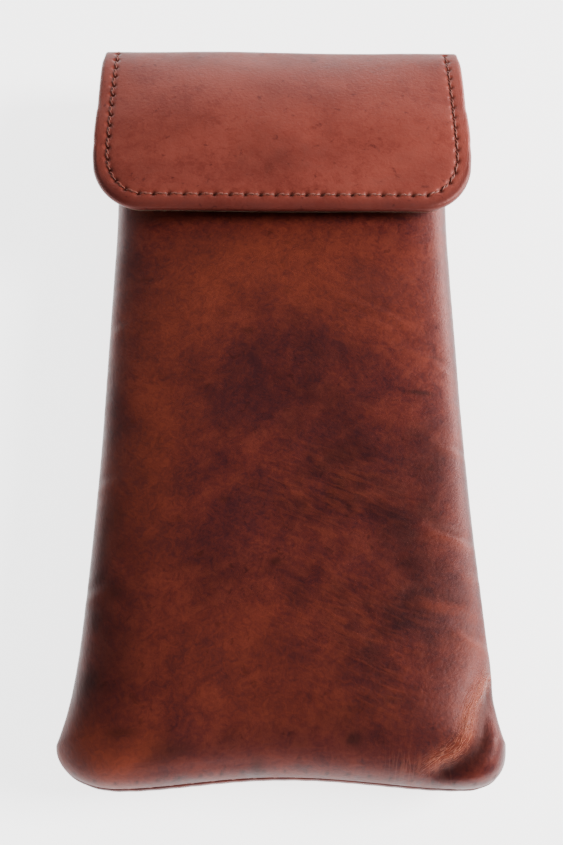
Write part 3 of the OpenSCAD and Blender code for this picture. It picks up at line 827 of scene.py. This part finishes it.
def make_flap_stitches():
    x, y = FLAP_HOLES.T
    normal = flap_top_normal(x, y)
    height = flap_relief(x, y, 0 * x)[0] - 0.16
    top = np.c_[x, y, flap_top(x, y)] + normal * height[:, None]
    over = [fold_holes(s, HIGH_BEND_Z, np.array([0.5, 0]) * HIGH_BEND_TO) for s in (-1, 1)]
    down = [fold_holes(s, SPLIT_Z, [0]) for s in (-1, 1)]
    outside = [np.concatenate([down[0][k], over[0][k][::-1], (top, normal)[k], over[1][k], down[1][k]])
               for k in (0, 1)]
    inward = LEATHER_T + LINING_T + BOARD_T * on_board(y)
    inside = (np.c_[x, y, flap_top(x, y)] - normal * inward[:, None], -normal)
    return make_stitches("flap_stitching", [outside, inside])


def make_fold_stitches():
    rows = []
    for s in (-1, 1):
        bend, out = fold_holes(s, LOW_BEND_Z, np.array([0, 0.5, 1]) * LOW_BEND_FROM)
        start, out_start = fold_holes(s, SPLIT_Z, [0])
        y = np.arange(bend[-1][1] - PITCH, MOUTH_Y + 1, -PITCH)
        strip = back_point(np.full_like(y, s * STITCH_U), y - bottom_edge(0))
        down = np.tile([0, -math.sin(math.radians(10)), -math.cos(math.radians(10))], (len(y), 1))
        rows.append((np.concatenate([start, bend, strip]), np.concatenate([out_start, out, down])))
    return make_stitches("fold_stitching", rows)


def make_mouth_stitches():
    y = MOUTH_Y - INSET
    half = 0.86 * half_width(y)
    x = np.linspace(-half, half, round(2 * half / PITCH) + 1)
    u = x / half_width(y)
    e = np.full_like(x, y - bottom_edge(0))
    step = 1e-3
    holes = front_point(u, e)
    n = unit(np.cross(front_point(u + step, e) - holes, front_point(u, e + step) - holes))
    height = front_relief(holes[None], u[None], e[None])[0][0]
    return make_stitches("mouth_stitching", [(holes + n * height[:, None], n)])


def seam_line():
    """The groove between front and back, from the left of the mouth round the bottom to its right."""
    halves = []
    for side in (-1, 1):
        y = np.linspace(MOUTH_Y - 1, EAR_Y, 400)[:-1]
        edge = np.stack([side * (half_width(y) - tuck(side, y)), y], axis=1)
        u = side * np.sin(np.linspace(math.pi / 2, 0, 400))
        y = bottom_edge(u)
        bottom = np.stack([u * (half_width(y) - tuck(u, y)), y], axis=1)
        halves.append(np.concatenate([edge, bottom]))
    return np.concatenate([halves[0], halves[1][-2::-1]])


def make_seam_stitches():
    line = seam_line()
    run = path_lengths(line)
    even = np.linspace(0, run[-1], round(run[-1] / SEAM_PITCH) + 1)
    xy = np.stack([np.interp(even, run, line[:, k]) for k in (0, 1)], axis=1)
    ahead = np.gradient(xy, axis=0)
    out = np.c_[-ahead[:, 1], ahead[:, 0]]
    out *= np.sign((out * (xy - [0, -10])).sum(axis=1, keepdims=True))
    out = np.c_[unit(out), np.zeros(len(out))]
    holes = np.c_[xy, seam_height(xy[:, 1])] - out * 0.55
    return make_stitches("seam_stitching", [(holes, out)], sink=0.5, arch=0.05, radius=0.33)


# ---------------------------------------------------------------- the snap

TURNS = 72
AXIS_R = 0.02   # a turned piece without a hole starts this far from its axis


def make_turned(name, profile, rounding=0.18):
    """A turned piece about the snap's axis. profile is its closed outline, as radius and height at each
    corner, which rounding then rounds."""
    profile = np.array(profile, float)
    outline = []
    for before, at, after in zip(np.roll(profile, 1, axis=0), profile, np.roll(profile, -1, axis=0)):
        reach = min(rounding, np.linalg.norm(before - at) / 2.1, np.linalg.norm(after - at) / 2.1)
        p, q = at + unit(before - at) * reach, at + unit(after - at) * reach
        outline += [mix(mix(p, at, t), mix(at, q, t), t) for t in (0, 0.33, 0.67, 1)]
    outline = np.array(outline)
    a = 2 * math.pi * np.arange(TURNS) / TURNS
    r, z = outline.T
    points = np.stack([r[None] * np.cos(a)[:, None], SNAP_Y + r[None] * np.sin(a)[:, None],
                       z[None] + 0 * a[:, None]], axis=-1)
    at = np.arange(TURNS * len(outline)).reshape(TURNS, -1)
    ahead, beside = np.roll(at, -1, axis=0), np.roll(at, -1, axis=1)
    faces = np.stack([at, ahead, np.roll(ahead, -1, axis=1), beside], axis=2).reshape(-1, 4)
    return make_object(name, points.reshape(-1, 3), faces.tolist())


def make_snap():
    """The socket's crimped shell on the front, and the plate and the nub under the flap."""
    r, low, high = (socket_high[0] - socket_low[0]) / 2, socket_low[2], socket_high[2]
    hole, wall = 2.6, 0.5
    shell = make_turned("socket_ring", [
        (r - 0.35, low), (r, low + 0.35), (r - 0.05, high - 0.55), (r - 0.75, high - 0.02), (r - 1.5, high),
        (hole + 1.2, high - 0.05), (hole + 0.4, high - 0.1), (hole, high - 0.55), (hole, high - 1.1),
        (hole + 0.35, high - 1.1), (hole + 0.5, high - wall), (r - 1.3, high - wall), (r - wall, high - 0.9),
        (r - wall, low)])
    r, low, high = (plate_high[0] - plate_low[0]) / 2, plate_low[2], plate_high[2]
    plate = make_turned("stud_disc", [
        (AXIS_R, low), (r - 0.6, low), (r, low + 0.3), (r, high), (AXIS_R, high)], 0.12)
    r, low, high = (nub_high[0] - nub_low[0]) / 2, nub_low[2], nub_high[2]
    nub = make_turned("stud_tip", [
        (AXIS_R, high), (AXIS_R, low), (r * 0.55, low), (r * 0.82, low + 0.25), (r * 0.9, high - 0.4),
        (r, high)], 0.2)
    return shell, plate, nub


# ---------------------------------------------------------------- pieces, some of them put on their bodies

front_leather = make_front_leather()
back_leather = make_back_leather()
flap_leather = make_flap_leather()
front_suede, back_suede, flap_suede = make_front_lining(), make_back_lining(), make_flap_lining()
front_foam = make_foam("front_foam", front_point, FRONT_POWER, False)
back_foam = make_foam("back_foam", back_point, BACK_POWER, True)
flap_stitches, fold_stitches = make_flap_stitches(), make_fold_stitches()
mouth_stitches, seam_stitches = make_mouth_stitches(), make_seam_stitches()
socket_ring, stud_disc, stud_tip = make_snap()

# Where the leather starts and stops to turn about each hinge, in metres
LOW_BLEND = ((0, 0.084, 0.0025), (0, 0.091, 0.0095))
HIGH_BLEND = ((0, 0.0915, 0.014), (0, 0.0865, 0.021))

for piece, node, slot, body in [
        (front_leather, "front_panel", "body_leather", "pouch"),
        (front_suede, "front_lining", "suede", "pouch"),
        (front_foam, "front_padding", "foam", "pouch"),
        (back_foam, "back_padding", "foam", "pouch"),
        (mouth_stitches, "mouth_thread", "thread", "pouch"),
        (seam_stitches, "seam_thread", "thread", "pouch"),
        (socket_ring, "socket_shell", "brass", "pouch"),
        (stud_disc, "stud_plate", "brass", "flap"),
        (stud_tip, "stud_nub", "brass", "flap")]:
    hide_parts(node)
    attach(piece, body)

for piece, nodes, slot, ends in [
        (back_leather, ["back_panel"], "body_leather", LOW_BLEND),
        (back_suede, ["back_lining"], "suede", LOW_BLEND),
        (fold_stitches, ["fold_thread"], "thread", LOW_BLEND),
        (flap_leather, ["flap_panel", "flap_board", "fold_leather"], "flap_leather", HIGH_BLEND),
        (flap_suede, ["flap_lining", "fold_lining"], "suede", HIGH_BLEND),
        (flap_stitches, ["flap_thread"], "thread", HIGH_BLEND)]:
    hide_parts(*nodes)
    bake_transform(piece)


# ---------------------------------------------------------------- materials

def rgb(red, green, blue):
    return (red, green, blue, 1.0)


class Look:
    """A material with its Principled shader, and short calls for the nodes that it is made of."""

    def __init__(self, name):
        self.material = bpy.data.materials.new(name)
        self.material.use_nodes = True
        self.tree = self.material.node_tree

    def give(self, socket, value):
        """Gives an input a number, a colour or another node's socket."""
        if isinstance(value, bpy.types.NodeSocket):
            self.tree.links.new(value, socket)
        else:
            socket.default_value = value

    def node(self, kind, inputs, output, **settings):
        """Makes a shader node with its settings and inputs, and returns one of its outputs."""
        made = self.tree.nodes.new("ShaderNode" + kind)
        for key, value in settings.items():
            setattr(made, key, value)
        for key, value in inputs.items():
            self.give(made.inputs[key], value)
        return made.outputs[output]

    def finish(self, inputs):
        """Gives the Principled shader its inputs, and returns the material."""
        for key, value in inputs.items():
            self.give(self.tree.nodes["Principled BSDF"].inputs[key], value)
        return self.material

    def attribute(self, name):
        return self.node("Attribute", {}, "Fac", attribute_name=name)

    def flat_lengths(self):
        """A sheet's flat lengths across and along, 1 to UV_LENGTH."""
        return self.node("UVMap", {}, "UV", uv_map="flat")

    def in_object(self):
        return self.node("TexCoord", {}, "Object")

    def mapped(self, at, scale, rotation=0.0, kind="POINT"):
        inputs = {"Vector": at, "Rotation": (0, 0, rotation), "Scale": scale}
        return self.node("Mapping", inputs, "Vector", vector_type=kind)

    def noise(self, at, scale, detail=4.0, rough=0.6, warp=0.0):
        inputs = {"Vector": at, "Scale": scale, "Detail": detail, "Roughness": rough, "Distortion": warp}
        return self.node("TexNoise", inputs, "Fac")

    def ramp(self, value, stops):
        """A colour ramp through (place, colour) stops."""
        made = self.node("ValToRGB", {"Fac": value}, "Color")
        elements = made.node.color_ramp.elements
        while len(elements) < len(stops):
            elements.new(0.5)
        for element, (place, colour) in zip(elements, stops):
            element.position, element.color = place, colour
        return made

    def blend(self, a, b, amount, kind="MIX"):
        """Colour a with b mixed in by amount. The inputs' numbers are those of the node's colour sockets."""
        return self.node("Mix", {0: amount, 6: a, 7: b}, 2, data_type="RGBA", blend_type=kind)

    def math(self, kind, a, b=0.0, c=0.0):
        return self.node("Math", {0: a, 1: b, 2: c}, "Value", operation=kind)

    def mean(self, a, b, share):
        """Mean of a and b, where a has the given share."""
        return self.math("MULTIPLY_ADD", a, share, self.math("MULTIPLY", b, 1 - share))

    def scaled(self, value, low, high, to_low=0.0, to_high=1.0):
        inputs = {"Value": value, "From Min": low, "From Max": high, "To Min": to_low, "To Max": to_high}
        return self.node("MapRange", inputs, "Result")

    def ridged(self, value):
        """Turns smooth noise into thin raised lines."""
        off = self.math("ABSOLUTE", self.math("SUBTRACT", value, 0.5))
        return self.scaled(off, 0.0, 0.06, 1.0, 0.0)

    def bump(self, height, distance, strength, normal=None):
        inputs = {"Height": height, "Distance": distance * MM, "Strength": strength}
        if normal is not None:
            inputs["Normal"] = normal
        return self.node("Bump", inputs, "Normal")


# The leather's dye where it is dark, middling and light, on the body and on the flap, and where it is rubbed.
# The flap's tones are lighter partly as its leather is lighter and partly as painted light, the flap lit more
# than the body.
BODY_TONES = rgb(0.033, 0.0066, 0.0085), rgb(0.066, 0.0108, 0.0092), rgb(0.115, 0.0200, 0.0125)
FLAP_TONES_AND_LIGHT = rgb(0.142, 0.0250, 0.0180), rgb(0.188, 0.0365, 0.0255), rgb(0.228, 0.0480, 0.033)
TONE_STOPS = 0.42, 0.5, 0.59
BODY_WORN, FLAP_WORN, WRINKLE = rgb(0.20, 0.036, 0.014), rgb(0.24, 0.050, 0.028), rgb(0.50, 0.17, 0.10)
# What the dye is multiplied by in stains and in specks, where some stain patches are painted shade, and the
# painted shade in the depth of creases and in needle holes
STAIN_AND_SHADE, SPECK, SHADE = rgb(0.24, 0.27, 0.36), rgb(0.30, 0.24, 0.34), rgb(0.16, 0.11, 0.12)


def leather_material(name, rough):
    """Waxed pull-up leather: marbled dye, dark stains and specks, pores, fine wavy wrinkles, and painted
    shade in creases, needle holes and some stain patches.
    """
    look = Look(name)
    at = look.node("VectorMath", {0: look.flat_lengths(), 1: (3.0, 3.0, 3.0)}, "Vector", operation="ADD")
    broad = look.noise(at, 6.0, 3.0, 0.55, 0.6)
    patchy = look.noise(at, 20.0, 6.0, 0.66, 0.9)
    marbled = look.noise(at, 52.0, 5.0, 0.70, 1.3)
    grainy = look.noise(at, 150.0, 4.0, 0.65)
    tone = look.math("MULTIPLY", broad, 0.30)
    for value, share in ((patchy, 0.30), (marbled, 0.30), (grainy, 0.10)):
        tone = look.math("MULTIPLY_ADD", value, share, tone)
    # Where the flap's tones, partly painted light, take over from the body's.
    flap_tone_and_light = look.attribute("flap_tone_and_light")
    on_body, on_flap = (look.ramp(tone, list(zip(TONE_STOPS, tones))) for tones in (BODY_TONES, FLAP_TONES_AND_LIGHT))
    colour = look.blend(on_body, on_flap, flap_tone_and_light)
    worn = look.blend(BODY_WORN, FLAP_WORN, flap_tone_and_light)
    # Stains from the noise and from the dark attribute, which also carries painted shade on the front's left
    # wall and lower right and over the flap's snap.
    stains_and_shade = look.math("ADD", look.math("MULTIPLY_ADD", patchy, 0.8, -0.40),
                      look.math("MULTIPLY_ADD", marbled, 0.7, -0.35))
    stains_and_shade = look.scaled(look.math("ADD", look.attribute("dark"), stains_and_shade), 0.0, 1.0, 0.0, 0.9)
    colour = look.blend(colour, STAIN_AND_SHADE, stains_and_shade, "MULTIPLY")
    specks = look.scaled(look.noise(at, 44.0, 3.0, 0.6, 0.6), 0.62, 0.71, 0.0, 0.55)
    colour = look.blend(colour, SPECK, specks, "MULTIPLY")
    rubbed = look.math("MULTIPLY", look.attribute("worn"), look.scaled(marbled, 0.3, 0.6, 0.6, 1.1))
    colour = look.blend(colour, worn, rubbed)

    waves = look.noise(look.mapped(at, (0.040, 0.012, 1), -0.32, "TEXTURE"), 1.0, 2.0, 0.45, 0.5)
    waves = look.math("MULTIPLY", look.scaled(waves, 0.42, 0.68), look.attribute("waves"))
    in_fold = {"X": look.attribute("fold_d"), "Y": look.attribute("fold_s")}
    in_fold = look.mapped(look.node("CombineXYZ", in_fold, "Vector"), (2.6, 0.28, 1))
    lines = look.ridged(look.noise(in_fold, 1.0, 2.0, 0.5, 0.4))
    lines = look.math("MULTIPLY", lines, look.attribute("crease"))
    gathers = look.ridged(look.noise(look.mapped(at, (78, 8, 1)), 1.0, 2.0, 0.5, 0.6))
    gathers = look.math("MULTIPLY", gathers, look.scaled(look.attribute("hem"), 0.0, 1.0, 0.0, 0.22))
    wrinkles = look.math("MAXIMUM", lines, gathers)
    colour = look.blend(colour, WRINKLE, look.math("MULTIPLY", wrinkles, 0.45))
    colour = look.blend(colour, worn, look.math("MULTIPLY", waves, 0.22))
    # Painted shade: the colour darkens in the depths of creases and in needle holes, and those places are
    # also rougher.
    painted_shade = look.attribute("painted_shade")
    colour = look.blend(colour, SHADE, look.scaled(painted_shade, 0.1, 1.0, 0.0, 0.85), "MULTIPLY")

    roughness = look.scaled(patchy, 0.3, 0.7, rough - 0.06, rough + 0.07)
    matt = look.math("MAXIMUM", painted_shade, look.attribute("dry"))
    roughness = look.math("MULTIPLY_ADD", matt, 0.14, roughness)
    pores = look.node("TexVoronoi", {"Vector": at, "Scale": 130.0}, "Distance")
    normal = None
    for height, distance, strength in [
            (marbled, 0.20, 0.20), (pores, 0.06, 0.3), (grainy, 0.09, 0.3), (waves, 0.10, 0.32),
            (wrinkles, 0.20, 0.7)]:
        normal = look.bump(height, distance, strength, normal)
    return look.finish({"Base Color": colour, "Roughness": roughness, "Normal": normal,
                        "Specular IOR Level": 0.30, "Specular Tint": rgb(1.0, 0.48, 0.44)})


def suede_material():
    """Light tan suede: a short, brushed nap with lighter and darker strokes."""
    look = Look("suede")
    at = look.flat_lengths()
    strokes = look.noise(at, 7.0, 4.0, 0.6, 0.4)
    nap = look.noise(at, 240.0, 3.0, 0.7)
    stops = [(0.35, rgb(0.135, 0.064, 0.033)), (0.65, rgb(0.225, 0.115, 0.060))]
    colour = look.ramp(look.mean(nap, strokes, 0.45), stops)
    # Darker along the flap lining's edge.
    colour = look.blend(colour, rgb(0.16, 0.09, 0.08), look.attribute("dark_edge"), "MULTIPLY")
    return look.finish({"Base Color": colour, "Roughness": 0.95, "Specular IOR Level": 0.15,
                        "Sheen Weight": 0.5, "Sheen Roughness": 0.5, "Sheen Tint": rgb(0.9, 0.7, 0.5),
                        "Normal": look.bump(nap, 0.25, 0.7)})


def thread_material():
    """Waxed thread: fine fibres, lighter where it is worn."""
    look = Look("waxed_thread")
    at = look.flat_lengths()
    fibres = look.noise(at, 400.0, 3.0, 0.6)
    wear = look.noise(at, 12.0, 2.0, 0.5)
    stops = [(0.35, rgb(0.110, 0.022, 0.013)), (0.65, rgb(0.19, 0.042, 0.024))]
    return look.finish({"Base Color": look.ramp(look.mean(fibres, wear, 0.5), stops), "Roughness": 0.55,
                        "Normal": look.bump(fibres, 0.06, 0.6)})


def plain_material(name, low, high, scale, rough, metallic=0.0, depth=0.02):
    """A material of one tone with fine mottling, for metal, foam, card and the magnet."""
    look = Look(name)
    at = look.in_object()
    fine = look.noise(at, scale, 4.0, 0.6)
    broad = look.noise(at, scale / 12, 3.0, 0.55)
    return look.finish({"Base Color": look.ramp(look.mean(fine, broad, 0.5), [(0.38, low), (0.62, high)]),
                        "Roughness": look.scaled(broad, 0.35, 0.65, rough - 0.05, rough + 0.08),
                        "Metallic": metallic, "Normal": look.bump(fine, depth, 0.5)})


suede = suede_material()
thread = thread_material()
foam = plain_material("foam", rgb(0.30, 0.30, 0.29), rgb(0.42, 0.42, 0.40), 1500.0, 0.9, depth=0.12)
card = plain_material("card", rgb(0.26, 0.19, 0.12), rgb(0.36, 0.28, 0.19), 700.0, 0.85, depth=0.04)
brass = plain_material("aged_brass", rgb(0.42, 0.27, 0.11), rgb(0.60, 0.42, 0.19), 260.0, 0.28, 1.0, 0.01)
steel = plain_material("steel", rgb(0.40, 0.40, 0.41), rgb(0.56, 0.56, 0.57), 420.0, 0.32, 1.0, 0.01)
ferrite = plain_material("ferrite", rgb(0.022, 0.022, 0.024), rgb(0.05, 0.05, 0.052), 900.0, 0.6, depth=0.03)

for pieces, material in [
        ([front_leather, back_leather], leather_material("body_leather", 0.40)),
        ([flap_leather], leather_material("flap_leather", 0.42)),
        ([front_suede, back_suede, flap_suede], suede),
        ([flap_stitches, fold_stitches, mouth_stitches, seam_stitches], thread),
        ([front_foam, back_foam], foam),
        ([socket_ring, stud_disc, stud_tip], brass)]:
    for piece in pieces:
        piece.data.materials.append(material)

# The snap's hidden parts stay as they were designed
for material, names in [
        (steel, ["socket_base", "socket_washer", "stud_prongs", "stud_washer"]),
        (ferrite, ["socket_magnet"]),
        (card, ["socket_patch"])]:
    for name in names:
        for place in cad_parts[name].material_slots:
            place.material = material


# ---------------------------------------------------------------- floor, lights and camera

def make_floor():
    half = 3000.0
    floor = make_object("floor", [(-half, -half, 0), (half, -half, 0), (half, half, 0), (-half, half, 0)],
                        [[0, 1, 2, 3]])
    look = Look("floor")
    tone = look.noise(look.in_object(), 3.0, 2.0, 0.5)
    floor.data.materials.append(look.finish({
        "Base Color": look.ramp(tone, [(0.3, rgb(0.86, 0.86, 0.86)), (0.7, rgb(0.9, 0.9, 0.9))]),
        "Roughness": 0.9, "Specular IOR Level": 0.1,
        "Emission Color": rgb(1.0, 1.0, 1.0), "Emission Strength": 3.2}))


def make_light(name, place, target, size, power, colour=(1, 1, 1)):
    """A soft rectangular light at a place, aimed at a target, both in metres."""
    data = bpy.data.lights.new(name, "AREA")
    data.shape = "RECTANGLE"
    data.size, data.size_y = size
    data.energy, data.color = power, colour
    lamp = bpy.data.objects.new(name, data)
    bpy.context.scene.collection.objects.link(lamp)
    lamp.location = place
    lamp.rotation_mode = "QUATERNION"
    lamp.rotation_quaternion = (Vector(target) - Vector(place)).to_track_quat("-Z", "Y")


def make_world():
    world = bpy.data.worlds.new("studio")
    bpy.context.scene.world = world
    world.use_nodes = True
    background = world.node_tree.nodes["Background"]
    background.inputs["Color"].default_value = rgb(1.0, 1.0, 1.0)
    background.inputs["Strength"].default_value = 0.40


def make_camera():
    """The camera stands over the bottom end and looks along the case."""
    elevation, azimuth, roll = (math.radians(v) for v in (61.13, 1.767, 1.736))
    target, distance = Vector((-0.3, -11.6, 10)) * MM, 285.6 * MM
    ahead = Vector((math.sin(azimuth) * math.cos(elevation), math.cos(azimuth) * math.cos(elevation),
                    -math.sin(elevation)))
    right = Vector((math.cos(azimuth), -math.sin(azimuth), 0))
    up = right.cross(ahead)
    rolled_right = right * math.cos(roll) + up * math.sin(roll)
    rolled_up = up * math.cos(roll) - right * math.sin(roll)
    data = bpy.data.cameras.new("camera")
    data.lens, data.sensor_width = 55.38, 36.0
    data.clip_start, data.clip_end = 0.01, 20.0
    camera = bpy.data.objects.new("camera", data)
    bpy.context.scene.collection.objects.link(camera)
    turned = Matrix((rolled_right, rolled_up, -ahead)).transposed().to_4x4()
    camera.matrix_world = Matrix.Translation(target - ahead * distance) @ turned
    bpy.context.scene.camera = camera


make_floor()
make_world()
make_light("window", (1.1, 0.0, 0.66), (0, 0, 0.01), (0.5, 0.5), 36.0, (1.0, 0.985, 0.97))
make_light("right", (1.0, 0.6, 0.13), (0, 0, 0.01), (0.8, 0.24), 20.0, (1.0, 0.66, 0.62))
make_light("back", (0.1, 1.3, 0.42), (0, 0, 0.01), (1.4, 0.4), 3.0)
make_camera()
